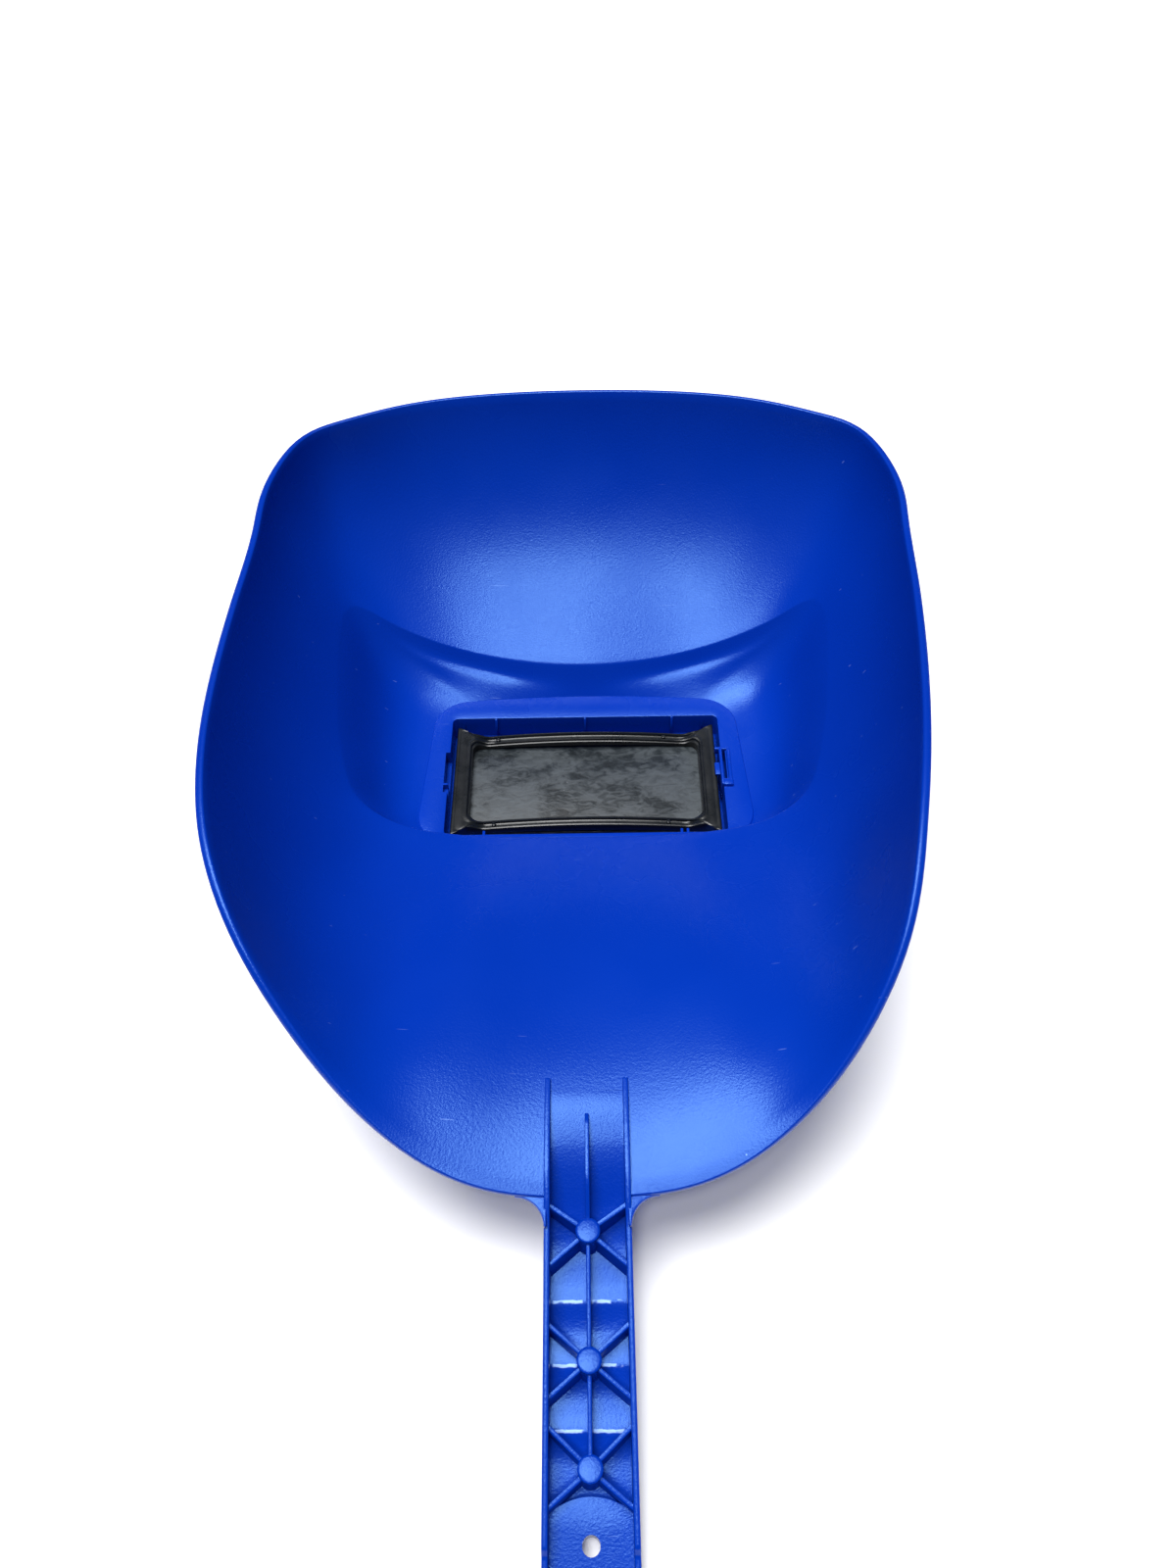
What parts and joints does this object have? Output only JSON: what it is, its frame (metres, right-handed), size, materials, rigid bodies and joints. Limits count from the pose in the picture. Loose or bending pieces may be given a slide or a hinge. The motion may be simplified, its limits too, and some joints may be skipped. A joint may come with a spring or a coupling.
{
  "type": "handheld welding mask",
  "caption": "Hand-held welding shield: one-piece moulded face shell with handle, snap-in lens holder and dark filter glass.",
  "frame": {"origin": "middle of the mask's box, on the surface it lies on", "axes": "+X to the side, +Y from the handle towards the forehead, +Z from the front of the mask towards the wearer's face"},
  "size_m": [0.2616, 0.4366, 0.1067],
  "materials": {
    "shell_plastic": "blue moulded polypropylene with a fine spark-eroded texture",
    "holder_plastic": "black satin moulded plastic",
    "filter_glass": "opaque dark welding filter glass, smudged"
  },
  "bodies": {
    "root": {"shell": "shell_plastic", "lens_holder": "holder_plastic", "filter_glass": "filter_glass"}
  },
  "joints": []
}
